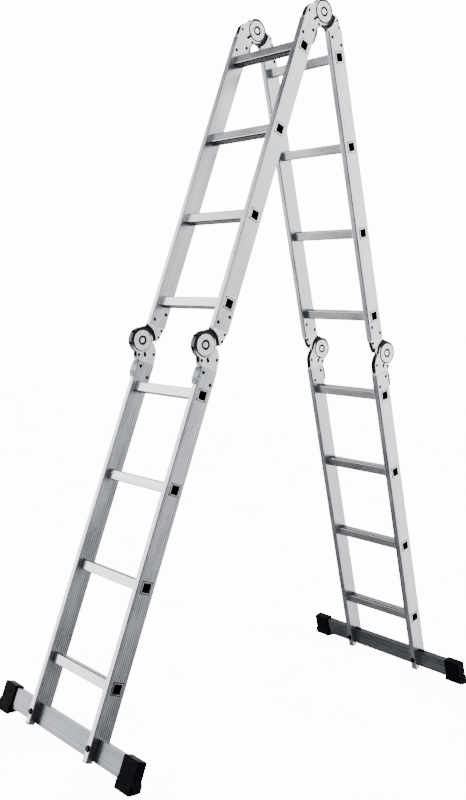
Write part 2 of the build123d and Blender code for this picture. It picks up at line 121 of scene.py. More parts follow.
# each hinge half: its pivot, the way to the stile's centreline and the way into the stile
HALVES = {
    "front_knee_hinge_outer": (KNEE_PIVOTS["front"], -FRONT_OUT, -FRONT_UP),
    "front_knee_hinge_inner": (KNEE_PIVOTS["front"], -FRONT_OUT, FRONT_UP),
    "top_hinge_outer": (TOP_PIVOT, FRONT_OUT, -FRONT_UP),
    "top_hinge_inner": (TOP_PIVOT, BACK_OUT, -BACK_UP),
    "back_knee_hinge_outer": (KNEE_PIVOTS["back"], -BACK_OUT, -BACK_UP),
    "back_knee_hinge_inner": (KNEE_PIVOTS["back"], -BACK_OUT, BACK_UP),
}


# ---- nodes and colours ----
def linear(hex_colour):
    """An sRGB hex colour as linear RGBA."""
    values = [int(hex_colour[i:i + 2], 16) / 255 for i in (1, 3, 5)]
    return tuple(v / 12.92 if v <= 0.04045 else ((v + 0.055) / 1.055) ** 2.4 for v in values) + (1.0,)


def add_node(tree, kind, inputs=None, **settings):
    """Adds a node, sets its properties, and sets or links its inputs."""
    node = tree.nodes.new(kind)
    for name, value in settings.items():
        setattr(node, name, value)
    for key, value in (inputs or {}).items():
        socket = node.inputs[key]
        if isinstance(value, bpy.types.NodeSocket):
            tree.links.new(value, socket)
        else:
            socket.default_value = value
    return node


def new_material(name):
    """An empty node material with its output node."""
    material = bpy.data.materials.new(name)
    material.use_nodes = True
    material.node_tree.nodes.clear()
    return material, material.node_tree, add_node(material.node_tree, "ShaderNodeOutputMaterial")


def math_of(tree, operation, *values):
    """One step of arithmetic on up to three values."""
    return add_node(tree, "ShaderNodeMath", dict(enumerate(values)), operation=operation).outputs[0]


def blend_of(tree, share, first, second, blend_type="MIX"):
    """Two colours mixed by a share."""
    node = add_node(tree, "ShaderNodeMix", {0: share, 6: first, 7: second},
                    data_type="RGBA", blend_type=blend_type)
    return node.outputs[2]


def ramp(tree, factor, stops):
    """A colour ramp over (position, linear colour) stops."""
    node = add_node(tree, "ShaderNodeValToRGB", {"Fac": factor})
    elements = node.color_ramp.elements
    while len(elements) < len(stops):
        elements.new(0.5)
    for element, (position, colour) in zip(elements, stops):
        element.position = position
        element.color = colour
    return node.outputs["Color"]


def step_up(tree, value, low, high):
    """0 below the low value, 1 above the high one."""
    node = add_node(tree, "ShaderNodeMapRange", {"Value": value, "From Min": low, "From Max": high},
                    interpolation_type="SMOOTHSTEP")
    return node.outputs["Result"]


def band(tree, value, low, high, soft):
    """1 where the value lies between low and high, with soft ends."""
    rise = step_up(tree, value, low - soft, low + soft)
    fall = step_up(tree, value, high + soft, high - soft)
    return math_of(tree, "MULTIPLY", rise, fall)


def facing(tree, axis):
    """How squarely the surface faces along one axis of the ladder, either way, 0 to 1."""
    normal = add_node(tree, "ShaderNodeTexCoord").outputs["Normal"]
    part = add_node(tree, "ShaderNodeSeparateXYZ", {0: normal}).outputs[axis]
    return math_of(tree, "ABSOLUTE", part)


def from_stile_middle(tree, coords):
    """Distance across the ladder from the middle of the nearer stile, in metres."""
    across = add_node(tree, "ShaderNodeSeparateXYZ", {0: coords}).outputs["X"]
    return math_of(tree, "ABSOLUTE", math_of(tree, "SUBTRACT", math_of(tree, "ABSOLUTE", across), STILE_X))


def noise(tree, vector, size, detail, roughness):
    """Noise whose features are about size metres across."""
    node = add_node(tree, "ShaderNodeTexNoise",
                    {"Vector": vector, "Scale": 1.0 / size, "Detail": detail, "Roughness": roughness})
    return node.outputs["Fac"]


def gloss_from(tree, value, rough):
    """Roughness that runs over the (smooth, rough) pair as a noise value rises."""
    node = add_node(tree, "ShaderNodeMapRange",
                    {"Value": value, "From Min": NOISE_LOW, "From Max": NOISE_HIGH,
                     "To Min": rough[0], "To Max": rough[1]})
    return node.outputs["Result"]


# ---- finishes ----
def rung_rim_shade(tree, turned, end):
    """1 on the thin ring of painted shade round each rung's rim, in coordinates turned onto the stiles."""
    pivot = Matrix.Rotation(STILE_TURNS[end][0], 3, "X") @ KNEE_PIVOTS[end]
    middle = pivot.y + PIVOT_OFFSET * (1.0 if end == "front" else -1.0)
    parts = add_node(tree, "ShaderNodeSeparateXYZ", {0: turned})
    deep = math_of(tree, "ABSOLUTE", math_of(tree, "SUBTRACT", parts.outputs["Y"], middle))
    along = math_of(tree, "SUBTRACT", parts.outputs["Z"], pivot.z + PIVOT_TO_RUNG)
    along = math_of(tree, "PINGPONG", along, RUNG_PITCH / 2)
    reach = math_of(tree, "MAXIMUM", deep, along)
    outside = step_up(tree, math_of(tree, "ABSOLUTE", parts.outputs["X"]), STILE_X, STILE_X + 2.0 * MM)
    joint = band(tree, reach, RIM_HALF + RIM_SHADE_EDGES[0], RIM_HALF + RIM_SHADE_EDGES[1], 0.4 * MM)
    return math_of(tree, "MULTIPLY", joint, outside)


def fine_ribs(tree, turned, colour, light, rib):
    """Fine ribs along the wide faces of a stile: a painted highlight on each crest, over a slightly darker ground
    of painted shade.
    """
    ribs = add_node(tree, "ShaderNodeTexWave", {"Vector": turned, "Scale": math.pi / 10 / rib},
                    wave_type="BANDS", bands_direction="Y").outputs["Fac"]
    wide = step_up(tree, facing(tree, "X"), 0.9, 0.99)
    # painted highlight on the crests of the ribs
    crest = math_of(tree, "MULTIPLY", step_up(tree, ribs, 0.62, 0.98), wide)
    colour = blend_of(tree, crest, colour, light)
    # painted shade on the wide faces between the crests
    shaded_ground = blend_of(tree, wide, linear("#ffffff"), linear("#d9dadb"))
    shaded_ground = blend_of(tree, crest, shaded_ground, linear("#ffffff"))
    return blend_of(tree, 1.0, colour, shaded_ground, "MULTIPLY")


def grained_metal(name, dark, light, run, rough, relief, rib=None, tread=None, seats=None):
    """Extruded metal: die lines along one direction, a soft cloudiness and small handling marks.

    run is the turn that brings Object Z onto the die lines. rib adds fine ribs drawn as painted highlights
    over painted shade, tread is the colour of the painted shade on faces that look up or down, and seats
    names the leg whose rungs get painted shade round their rims."""
    material, tree, output = new_material(name)
    coords = add_node(tree, "ShaderNodeTexCoord").outputs["Object"]
    turned = add_node(tree, "ShaderNodeMapping", {"Vector": coords, "Rotation": run}).outputs["Vector"]
    drawn_out = (1.0, 1.0, LINE_PITCH / LINE_RUN)
    lined = add_node(tree, "ShaderNodeMapping", {"Vector": turned, "Scale": drawn_out}).outputs["Vector"]
    lines = noise(tree, lined, LINE_PITCH, 2.0, 0.7)
    drawn = (1.0, 1.0, CLOUD_DRAW)
    stretched = add_node(tree, "ShaderNodeMapping", {"Vector": turned, "Scale": drawn}).outputs["Vector"]
    cloud = noise(tree, stretched, CLOUD_SIZE, 6.0, 0.68)
    marks = noise(tree, turned, MARK_SIZE, 4.0, 0.7)
    mixed = add_node(tree, "ShaderNodeMix", {0: 0.45, 2: lines, 3: cloud}).outputs[0]
    mixed = add_node(tree, "ShaderNodeMix", {0: 0.1, 2: mixed, 3: marks}).outputs[0]
    colour = ramp(tree, mixed, [(0.37, dark), (0.6, light)])
    if rib:
        colour = fine_ribs(tree, turned, colour, light, rib)
    # painted shade round each rung's rim, where it meets the stile
    if seats:
        colour = blend_of(tree, rung_rim_shade(tree, turned, seats), colour, linear("#3a3b3d"))
    # painted shade on faces that look up or down: the rung treads and the bars' upper and lower faces
    if tread:
        colour = blend_of(tree, step_up(tree, facing(tree, "Z"), 0.33, 0.55), colour, tread)
    bump = add_node(tree, "ShaderNodeBump", {"Height": lines, "Strength": 1.0, "Distance": relief})
    shader = add_node(tree, "ShaderNodeBsdfPrincipled",
                      {"Base Color": colour, "Roughness": gloss_from(tree, cloud, rough), "Metallic": 1.0,
                       "Normal": bump.outputs["Normal"]})
    tree.links.new(shader.outputs["BSDF"], output.inputs["Surface"])
    return material


def pivot_shade_rings(tree, coords, colour, pivot, neck):
    """Painted shade round a pivot: a dark dish round the rivet, a dark line at the boss's edge, and a dark foot of
    the boss on the side away from the neck.
    """
    centred = add_node(tree, "ShaderNodeMapping", {"Vector": coords, "Location": (0.0, -pivot.y, -pivot.z),
                                                   "Scale": (0.0, 1.0, 1.0)}).outputs["Vector"]
    radius = add_node(tree, "ShaderNodeVectorMath", {0: centred}, operation="LENGTH").outputs["Value"]
    way = add_node(tree, "ShaderNodeVectorMath", {0: centred}, operation="NORMALIZE").outputs[0]
    towards = add_node(tree, "ShaderNodeVectorMath", {0: way, 1: neck}, operation="DOT_PRODUCT")
    towards = towards.outputs["Value"]
    away = step_up(tree, towards, 0.35, -0.15)
    share = math_of(tree, "DIVIDE", radius, DISC_RADIUS)
    # painted shade in the dish round the rivet
    dish = ramp(tree, share, [(position, linear(tone)) for position, tone in PIVOT_SHADE_TONES])
    # painted shade on the boss's foot away from the neck, and a painted shade line at its edge
    foot = band(tree, radius, BOSS_RADIUS - 0.5 * MM, DISC_RADIUS + 0.5 * MM, 0.8 * MM)
    line = band(tree, radius, BOSS_RADIUS + 0.5 * MM, BOSS_RADIUS + 2.5 * MM, 0.6 * MM)
    foot = math_of(tree, "MAXIMUM", math_of(tree, "MULTIPLY", foot, away), line)
    colour = blend_of(tree, 1.0, colour, dish, "MULTIPLY")
    return blend_of(tree, foot, colour, linear("#26282b"))


def bare_edges_and_shade(tree, coords, colour, bare_and_shade):
    """One dark colour: uncoated steel on the cut edges of the cover plates, and painted shade on their slopes and
    on all of the inner plates.
    """
    across = facing(tree, "X")
    outside = step_up(tree, from_stile_middle(tree, coords), HINGE_COVER - 0.1 * MM, HINGE_COVER + 0.1 * MM)
    slanted = math_of(tree, "SUBTRACT", 1.0, step_up(tree, across, 0.93, 0.99))
    inner = step_up(tree, across, 0.3, 0.8)
    # uncoated steel on cut edges; painted shade on the slopes of the cover plates and on the inner plates
    worn = add_node(tree, "ShaderNodeMix", {0: outside, 2: inner, 3: slanted}).outputs[0]
    return blend_of(tree, worn, colour, bare_and_shade)


def plated_steel(name, dark, light, rough, spangle, bare_and_shade=None, pivot=None, neck=None):
    """Zinc plated steel: a pale metal with a fine mottle and faint handling marks.

    The colour for cut edges also gives the painted shade on slopes and inner plates. pivot and neck place the
    painted shade rings of a hinge."""
    material, tree, output = new_material(name)
    coords = add_node(tree, "ShaderNodeTexCoord").outputs["Object"]
    crystals = add_node(tree, "ShaderNodeTexVoronoi", {"Vector": coords, "Scale": 1.0 / spangle})
    crystals = add_node(tree, "ShaderNodeSeparateXYZ", {0: crystals.outputs["Color"]}).outputs["X"]
    cloud = noise(tree, coords, MOTTLE_SIZE, 6.0, 0.7)
    mottle = add_node(tree, "ShaderNodeMix", {0: 0.75, 2: crystals, 3: cloud}).outputs[0]
    colour = ramp(tree, mottle, [(0.34, dark), (0.62, light)])
    if pivot:
        colour = pivot_shade_rings(tree, coords, colour, pivot, neck)
    if bare_and_shade:
        colour = bare_edges_and_shade(tree, coords, colour, bare_and_shade)
    bump = add_node(tree, "ShaderNodeBump", {"Height": cloud, "Strength": 1.0, "Distance": 0.12 * MM})
    shader = add_node(tree, "ShaderNodeBsdfPrincipled",
                      {"Base Color": colour, "Roughness": gloss_from(tree, cloud, rough), "Metallic": 1.0,
                       "Normal": bump.outputs["Normal"]})
    tree.links.new(shader.outputs["BSDF"], output.inputs["Surface"])
    return material


def moulded(name, dark, light, rough, grain_size, relief, specular):
    """Moulded rubber or plastic with a fine grain and a slight bloom."""
    material, tree, output = new_material(name)
    coords = add_node(tree, "ShaderNodeTexCoord").outputs["Object"]
    grain = noise(tree, coords, grain_size, 3.0, 0.6)
    bloom = noise(tree, coords, 18.0 * MM, 4.0, 0.6)
    colour = ramp(tree, bloom, [(0.35, dark), (0.72, light)])
    bump = add_node(tree, "ShaderNodeBump", {"Height": grain, "Strength": 1.0, "Distance": relief})
    shader = add_node(tree, "ShaderNodeBsdfPrincipled",
                      {"Base Color": colour, "Roughness": gloss_from(tree, bloom, rough),
                       "Specular IOR Level": specular, "Normal": bump.outputs["Normal"]})
    tree.links.new(shader.outputs["BSDF"], output.inputs["Surface"])
    return material


def paint(material, *words):
    """Gives one material to each CAD node whose name has every one of the words."""
    for name, node in NODES.items():
        if all(word in name for word in words):
            node.data.materials.clear()
            node.data.materials.append(material)


def chosen(settings, name):
    """A colour that the user chose, as linear RGBA."""
    return tuple(getattr(settings, name)) + (1.0,)


def fastener_steel(scene):
    # Galvanised steel, headed cold: dull heads of a dark grey that is almost black.
    name = "galvanised_steel_fastener"
    light = chosen(scene.ladder_colours, "fastener")
    made = bpy.data.materials.get(name)
    return made or plated_steel(name, linear("#08090a"), light, (0.35, 0.5), scene.ladder_sizes.spangle)


# ---- what a user may change ----
def colour_of(name, description, hex_colour):
    """A colour property with an sRGB hex default."""
    return bpy.props.FloatVectorProperty(name=name, description=description, subtype="COLOR", size=3,
                                         min=0.0, max=1.0, default=linear(hex_colour)[:3])


def length_of(name, description, millimetres):
    """A length property with a default in millimetres."""
    return bpy.props.FloatProperty(name=name, description=description, unit="LENGTH", min=0.0, precision=4,
                                   default=millimetres * MM)


class LadderColours(bpy.types.PropertyGroup):
    """Colours of the finishes."""
    stile_dark: colour_of("Stile, dark", "Darker tone of the stile aluminium", "#a8abaf")
    stile_light: colour_of("Stile, light", "Lighter tone of the stile aluminium", "#eceef0")
    rung_dark: colour_of("Rung, dark", "Darker tone of the rung aluminium", "#bcbec1")
    rung_light: colour_of("Rung, light", "Lighter tone of the rung aluminium", "#eceded")
    # painted shade of the rung treads' grooves
    tread: colour_of("Tread", "Rung faces that are stepped on", "#2c2e30")
    bar_dark: colour_of("Bar, dark", "Darker tone of the stabiliser bars", "#6e7174")
    bar_light: colour_of("Bar, light", "Lighter tone of the stabiliser bars", "#a3a6aa")
    # painted shade on the bars' upper and lower faces
    bar_top_shade: colour_of("Bar top", "Upper and lower faces of the bars", "#1e2022")
    zinc_dark: colour_of("Zinc, dark", "Darker tone of the plated hinges", "#c3c6c9")
    zinc_light: colour_of("Zinc, light", "Lighter tone of the plated hinges", "#ffffff")
    # uncoated steel on the hinges' cut edges, and painted shade on their slopes and inner plates
    bare_steel_and_shade: colour_of("Bare steel", "Cut edges and inner plates of the hinges", "#17181a")
    fastener: colour_of("Fasteners", "Lighter tone of the rivets, bolts and nuts", "#1e1f21")
    plastic: colour_of("Plastic", "Rung plugs and foot caps", "#08090b")
    rubber: colour_of("Rubber", "End caps of the stabiliser bars", "#080b14")


class LadderSizes(bpy.types.PropertyGroup):
    """Sizes of the patterns and of the small fittings."""
    rib_pitch: length_of("Rib pitch", "Between the fine ribs on the wide faces of a stile", 7.0)
    spangle: length_of("Spangle", "Across a crystal of the zinc", 2.5)
    tread_ridges: bpy.props.IntProperty(name="Tread ridges", description="Ridges along each tread",
                                        default=3, min=1, max=4)
    tread_pitch: length_of("Tread pitch", "Between the ridges along a tread", 6.0)
    ridge_width: length_of("Ridge width", "Width of a tread ridge", 2.0)
    ridge_height: length_of("Ridge height", "Height of a tread ridge", 0.5)
    spot_radius: length_of("Spot rivet radius", "Radius of a spot rivet's head", 4.8)
    spot_height: length_of("Spot rivet height", "Height of a spot rivet's head", 1.5)
    washer_radius: length_of("Washer radius", "Radius of the washers on the bar bolts", 9.4)
    washer_thick: length_of("Washer thickness", "Thickness of the washers on the bar bolts", 1.4)
    washer_bevel: length_of("Washer bevel", "Bevel round a washer's outer edge", 0.5)
    grip_ridges: bpy.props.IntProperty(name="Grip ridges", description="Ridges on each release lever",
                                       default=5, min=1, max=7)
    grip_pitch: length_of("Grip pitch", "Between the ridges on a release lever", 2.6)
    grip_width: length_of("Grip width", "Width of a ridge on a release lever", 1.1)
    grip_height: length_of("Grip height", "Height of a ridge on a release lever", 0.7)


class LadderCamera(bpy.types.PropertyGroup):
    """Where the picture is taken from."""
    place: bpy.props.FloatVectorProperty(name="Place", description="Camera place in the ladder's frame",
                                         default=(2.312, -2.157, 1.190), subtype="TRANSLATION", unit="LENGTH")
    yaw: bpy.props.FloatProperty(name="Yaw", description="Turn of the view from the front-to-back line",
                                 default=math.radians(47.75), subtype="ANGLE")
    pitch: bpy.props.FloatProperty(name="Pitch", description="View above the horizon",
                                   default=math.radians(-2.03), subtype="ANGLE")
    roll: bpy.props.FloatProperty(name="Roll", description="Turn of the picture about the view",
                                  default=math.radians(3.27), subtype="ANGLE")
    lens: bpy.props.FloatProperty(name="Lens", description="Focal length in millimetres",
                                  default=43.55, unit="CAMERA")
    shift: bpy.props.FloatVectorProperty(name="Shift", description="Lens shift across and up", size=2,
                                         default=(-0.0268, -0.0397))


# ---- small fittings, made by geometry nodes ----
def turn_to(facing_way):
    """Euler angles that bring a fitting's Z onto the way it faces, its X across the ladder where it can."""
    across = Vector((0.0, 1.0, 0.0)) if abs(facing_way.x) > 0.5 else Vector((1.0, 0.0, 0.0))
    side = facing_way.cross(across).normalized()
    return Matrix((side.cross(facing_way), side, facing_way)).transposed().to_euler()


def fitting_tree(name, lengths, counts, shape):
    """A tree that sets one shape on every seat: lengths and counts name its inputs, shape draws it."""
    tree = bpy.data.node_groups.new(name, "GeometryNodeTree")
    sockets = tree.interface
    sockets.new_socket("Seats", in_out="INPUT", socket_type="NodeSocketGeometry")
    for label in lengths:
        sockets.new_socket(label, in_out="INPUT", socket_type="NodeSocketFloat").subtype = "DISTANCE"
    for label in counts:
        sockets.new_socket(label, in_out="INPUT", socket_type="NodeSocketInt")
    sockets.new_socket("Material", in_out="INPUT", socket_type="NodeSocketMaterial")
    sockets.new_socket("Fittings", in_out="OUTPUT", socket_type="NodeSocketGeometry")
    given = add_node(tree, "NodeGroupInput").outputs
    turn = add_node(tree, "GeometryNodeInputNamedAttribute", {"Name": "turn"}, data_type="FLOAT_VECTOR")
    turn = add_node(tree, "FunctionNodeEulerToRotation", {0: turn.outputs["Attribute"]}).outputs[0]
    placed = add_node(tree, "GeometryNodeInstanceOnPoints",
                      {"Points": given["Seats"], "Instance": shape(tree, given), "Rotation": turn})
    real = add_node(tree, "GeometryNodeRealizeInstances", {"Geometry": placed.outputs[0]})
    done = add_node(tree, "GeometryNodeSetMaterial",
                    {"Geometry": real.outputs[0], "Material": given["Material"]})
    add_node(tree, "NodeGroupOutput", {0: done.outputs[0]})
    return tree


def domed_head(tree, given):
    """A flattened ball whose lower half is sunk in the plate."""
    ball = add_node(tree, "GeometryNodeMeshUVSphere", {"Segments": 20, "Rings": 10, "Radius": 1.0})
    size = add_node(tree, "ShaderNodeCombineXYZ",
                    {"X": given["Radius"], "Y": given["Radius"], "Z": given["Height"]}).outputs[0]
    head = add_node(tree, "GeometryNodeTransform", {"Geometry": ball.outputs["Mesh"], "Scale": size})
    return head.outputs[0]


def bevelled_washer(tree, given):
    """A flat ring under a bolt head or a nut, which fills its hole."""
    top = math_of(tree, "SUBTRACT", given["Radius"], given["Bevel"])
    ring = add_node(tree, "GeometryNodeMeshCone",
                    {"Vertices": 40, "Radius Top": top, "Radius Bottom": given["Radius"],
                     "Depth": given["Thickness"]})
    return ring.outputs["Mesh"]


def ridge_row(tree, given):
    """A row of straight ridges side by side, each half sunk in the face."""
    through = math_of(tree, "MULTIPLY", given["Height"], 2.0)
    bar_size = add_node(tree, "ShaderNodeCombineXYZ",
                        {"X": given["Length"], "Y": given["Width"], "Z": through})
    ridge = add_node(tree, "GeometryNodeMeshCube", {"Size": bar_size.outputs[0]}).outputs["Mesh"]
    steps = math_of(tree, "SUBTRACT", given["Ridges"], 1.0)
    first = math_of(tree, "MULTIPLY", math_of(tree, "MULTIPLY", steps, given["Pitch"]), -0.5)
    start = add_node(tree, "ShaderNodeCombineXYZ", {"Y": first}).outputs[0]
    step = add_node(tree, "ShaderNodeCombineXYZ", {"Y": given["Pitch"]}).outputs[0]
    row = add_node(tree, "GeometryNodeMeshLine",
                   {"Count": given["Ridges"], "Start Location": start, "Offset": step})
    ridges = add_node(tree, "GeometryNodeInstanceOnPoints", {"Points": row.outputs[0], "Instance": ridge})
    return ridges.outputs[0]


def fit(name, body, places, tree, inputs):
    """Sets fittings on places, (point, way it faces) pairs, as one plain mesh that rides on a body."""
    if not places:
        raise RuntimeError(f"{name} has no places")
    mesh = bpy.data.meshes.new(f"{name}_seats")
    mesh.from_pydata([place for place, way in places], [], [])
    turns = mesh.attributes.new("turn", "FLOAT_VECTOR", "POINT")
    for entry, (place, way) in zip(turns.data, places):
        entry.vector = turn_to(way)
    seats = bpy.data.objects.new(f"{name}_seats", mesh)
    modifier = seats.modifiers.new("fittings", "NODES")
    modifier.node_group = tree
    sockets = {item.name: item.identifier for item in tree.interface.items_tree if item.in_out == "INPUT"}
    for label, value in inputs.items():
        modifier[sockets[label]] = value
    bpy.context.scene.collection.objects.link(seats)
    graph = bpy.context.evaluated_depsgraph_get()
    baked = bpy.data.meshes.new_from_object(seats.evaluated_get(graph), depsgraph=graph)
    seats.modifiers.remove(modifier)
    bpy.data.objects.remove(seats)
    if not baked.polygons or not baked.materials:
        raise RuntimeError(f"{name} has no faces or no material")
    piece = bpy.data.objects.new(name, baked)
    bpy.context.scene.collection.objects.link(piece)
    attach(piece, body)
    return piece


class LADDER_OT_stiles(bpy.types.Operator):
    """Finish the stiles: extruded aluminium with fine ribs"""
    bl_idname = "ladder.stiles"
    bl_label = "Stiles"

    def execute(self, context):
        colours, sizes = context.scene.ladder_colours, context.scene.ladder_sizes
        for end, turn in STILE_TURNS.items():
            # Mill finish aluminium alloy, extruded: satin metal with fine die lines along the stile and a
            # soft cloudiness. The real lines are under 1 mm apart; they are drawn wider, so that they show.
            # The fine ribs are painted highlights over painted shade, and painted shade rings each rung's rim.
            stile = grained_metal(f"mill_aluminium_extruded_stile_{end}", chosen(colours, "stile_dark"),
                                  chosen(colours, "stile_light"), turn, (0.24, 0.38), 0.04 * MM,
                                  rib=sizes.rib_pitch, seats=end)
            paint(stile, end, "stile_")
        return {"FINISHED"}


class LADDER_OT_rungs(bpy.types.Operator):
    """Finish the rungs: extruded aluminium with dark treads"""
    bl_idname = "ladder.rungs"
    bl_label = "Rungs"

    def execute(self, context):
        colours = context.scene.ladder_colours
        # Mill finish aluminium alloy, extruded square tube: brighter than the stiles, lines along the rung,
        # and treads painted dark as the painted shade of their grooves.
        rung = grained_metal("mill_aluminium_extruded_rung", chosen(colours, "rung_dark"),
                             chosen(colours, "rung_light"), ACROSS_TURN, (0.22, 0.34), 0.04 * MM,
                             tread=chosen(colours, "tread"))
        paint(rung, "rungs")
        return {"FINISHED"}


class LADDER_OT_bars(bpy.types.Operator):
    """Finish the stabiliser bars: extruded ribbed aluminium"""
    bl_idname = "ladder.bars"
    bl_label = "Stabiliser bars"

    def execute(self, context):
        colours = context.scene.ladder_colours
        # Mill finish aluminium alloy, extruded ribbed bar: duller and darker than the stiles, with painted shade
        # on its upper and lower faces.
        bar = grained_metal("mill_aluminium_extruded_bar", chosen(colours, "bar_dark"),
                            chosen(colours, "bar_light"), ACROSS_TURN, (0.26, 0.40), 0.05 * MM,
                            tread=chosen(colours, "bar_top_shade"))
        paint(bar, "stabiliser_bar")
        return {"FINISHED"}


class LADDER_OT_hinges(bpy.types.Operator):
    """Finish the hinge halves: zinc plated steel with bare edges"""
    bl_idname = "ladder.hinges"
    bl_label = "Hinges"

    def execute(self, context):
        colours, sizes = context.scene.ladder_colours, context.scene.ladder_sizes
        for hinge in HINGES:
            pivot, to_centreline, to_stile = HALVES[f"{hinge}_hinge_outer"]
            # Zinc plated steel, pressed from sheet: pale mottled faces, dark uncoated metal on cut edges, painted
            # shade on the slopes of the pressings, on the inner plates and in rings round the pivot. The real
            # spangle is finer.
            zinc = plated_steel(f"zinc_plated_steel_pressed_{hinge}", chosen(colours, "zinc_dark"),
                                chosen(colours, "zinc_light"), (0.32, 0.5), sizes.spangle,
                                bare_and_shade=chosen(colours, "bare_steel_and_shade"), pivot=pivot,
                                neck=(to_centreline + to_stile).normalized())
            paint(zinc, f"{hinge}_hinge_")
        return {"FINISHED"}


class LADDER_OT_locks_and_levers(bpy.types.Operator):
    """Finish the lock bars and the release levers"""
    bl_idname = "ladder.locks_and_levers"
    bl_label = "Locks and levers"

    def execute(self, context):
        sizes = context.scene.ladder_sizes
        # Zinc plated steel, pressed thin: brighter than the hinges, because fingers polish it.
        lever = plated_steel("zinc_plated_steel_lever", linear("#686b6f"), linear("#9b9ea2"), (0.22, 0.36),
                             sizes.spangle)
        # Blackened steel, sawn from bar and oiled: almost black, with little shine.
        lock = plated_steel("blackened_steel_lock_bar", linear("#030304"), linear("#0c0d0f"), (0.5, 0.65),
                            sizes.spangle)
        paint(lever, "release_lever")
        paint(lock, "lock_bar")
        return {"FINISHED"}


class LADDER_OT_fasteners(bpy.types.Operator):
    """Finish the rivets, bolts and nuts"""
    bl_idname = "ladder.fasteners"
    bl_label = "Fasteners"

    def execute(self, context):
        settings = context.scene
        # Zinc plated steel, turned and clenched: the brightest metal on the ladder.
        bright = plated_steel("zinc_plated_steel_turned", linear("#e0e2e4"), linear("#ffffff"), (0.2, 0.32),
                              settings.ladder_sizes.spangle)
        paint(bright, "pivot_rivets")
        for word in ("section_rivets", "bar_bolts", "bar_nuts"):
            paint(fastener_steel(settings), word)
        return {"FINISHED"}


class LADDER_OT_plugs_and_caps(bpy.types.Operator):
    """Finish the rung plugs, the foot caps and the end caps"""
    bl_idname = "ladder.plugs_and_caps"
    bl_label = "Plugs and caps"

    def execute(self, context):
        colours = context.scene.ladder_colours
        # Polypropylene, moulded: black and fairly matt.
        plug = moulded("polypropylene_moulded_plug", linear("#020203"), chosen(colours, "plastic"),
                       (0.5, 0.65), 0.8 * MM, 0.02 * MM, 0.06)
        # Rubber, moulded: a blue black without shine, with a fine grain.
        rubber = moulded("rubber_moulded_end_cap", linear("#020409"), chosen(colours, "rubber"), (0.6, 0.78),
                         0.9 * MM, 0.05 * MM, 0.05)
        paint(plug, "plugs")
        paint(plug, "foot_caps")
        paint(rubber, "end_cap")
        return {"FINISHED"}


class LADDER_OT_tread_ridges(bpy.types.Operator):
    """Make the ridges along both treads of every rung"""
    bl_idname = "ladder.tread_ridges"
    bl_label = "Tread ridges"

    def execute(self, context):
        sizes = context.scene.ladder_sizes
        tree = fitting_tree("ridges", ("Length", "Width", "Height", "Pitch"), ("Ridges",), ridge_row)
        # The worn crests of the treads: the same alloy as the rungs, rubbed bright.
        worn = grained_metal("mill_aluminium_worn_ridge", linear("#8c8e91"), linear("#c6c8ca"), ACROSS_TURN,
                             (0.3, 0.45), 0.02 * MM)
        inputs = {"Length": 2 * (STILE_INSIDE - RIDGE_GAP), "Width": sizes.ridge_width,
                  "Height": sizes.ridge_height, "Pitch": sizes.tread_pitch, "Ridges": sizes.tread_ridges,
                  "Material": worn}
        for end in ("front", "back"):
            outward, up = leg_axes(end)
            knee = KNEE_PIVOTS[end] - outward * PIVOT_OFFSET
            for part, way in (("upper", 1.0), ("lower", -1.0)):
                places = []
                for i in range(RUNG_COUNT):
                    middle = knee + up * way * (PIVOT_TO_RUNG + i * RUNG_PITCH)
                    middle.x = 0.0
                    places += [(middle + up * face * RUNG_HALF, up * face) for face in (-1.0, 1.0)]
                fit(f"{end}_{part}_tread_ridges", BODY_OF[f"{end}_{part}_rungs"], places, tree, inputs)
        return {"FINISHED"}


class LADDER_OT_spot_rivets(bpy.types.Operator):
    """Make the spot rivets on the hinge plates"""
    bl_idname = "ladder.spot_rivets"
    bl_label = "Spot rivets"

    def execute(self, context):
        sizes = context.scene.ladder_sizes
        tree = fitting_tree("spot_rivets", ("Radius", "Height"), (), domed_head)
        inputs = {"Radius": sizes.spot_radius, "Height": sizes.spot_height,
                  "Material": fastener_steel(context.scene)}
        places = {}
        for half, (pivot, to_centreline, to_stile) in HALVES.items():
            spots = OUTER_SPOTS if half.endswith("outer") else INNER_SPOTS
            for across, along in spots:
                point = pivot + to_centreline * across + to_stile * along
                for side in SIDES.values():
                    for face in (-1.0, 1.0):
                        x = side * STILE_X + face * HINGE_FACE
                        body = BODY_OF[f"{half}_left"]
                        seat = (Vector((x, point.y, point.z)), Vector((face, 0.0, 0.0)))
                        places.setdefault(body, []).append(seat)
        for body, seats in places.items():
            fit(f"{body}_spot_rivets", body, seats, tree, inputs)
        return {"FINISHED"}


class LADDER_OT_bolt_washers(bpy.types.Operator):
    """Make the washers under the heads and nuts of the bar bolts"""
    bl_idname = "ladder.bolt_washers"
    bl_label = "Bolt washers"

    def execute(self, context):
        sizes = context.scene.ladder_sizes
        tree = fitting_tree("washers", ("Radius", "Thickness", "Bevel"), (), bevelled_washer)
        inputs = {"Radius": sizes.washer_radius, "Thickness": sizes.washer_thick, "Bevel": sizes.washer_bevel,
                  "Material": fastener_steel(context.scene)}
        for end in ("front", "back"):
            outward, up = leg_axes(end)
            middle = KNEE_PIVOTS[end] - outward * PIVOT_OFFSET - up * KNEE_TO_BAR
            places = []
            for side in SIDES.values():
                for face in (-1.0, 1.0):
                    point = middle + outward * face * STILE_DEPTH / 2
                    places.append((Vector((side * STILE_X, point.y, point.z)), outward * face))
            fit(f"{end}_bolt_washers", BODY_OF[f"{end}_bar_bolts"], places, tree, inputs)
        return {"FINISHED"}


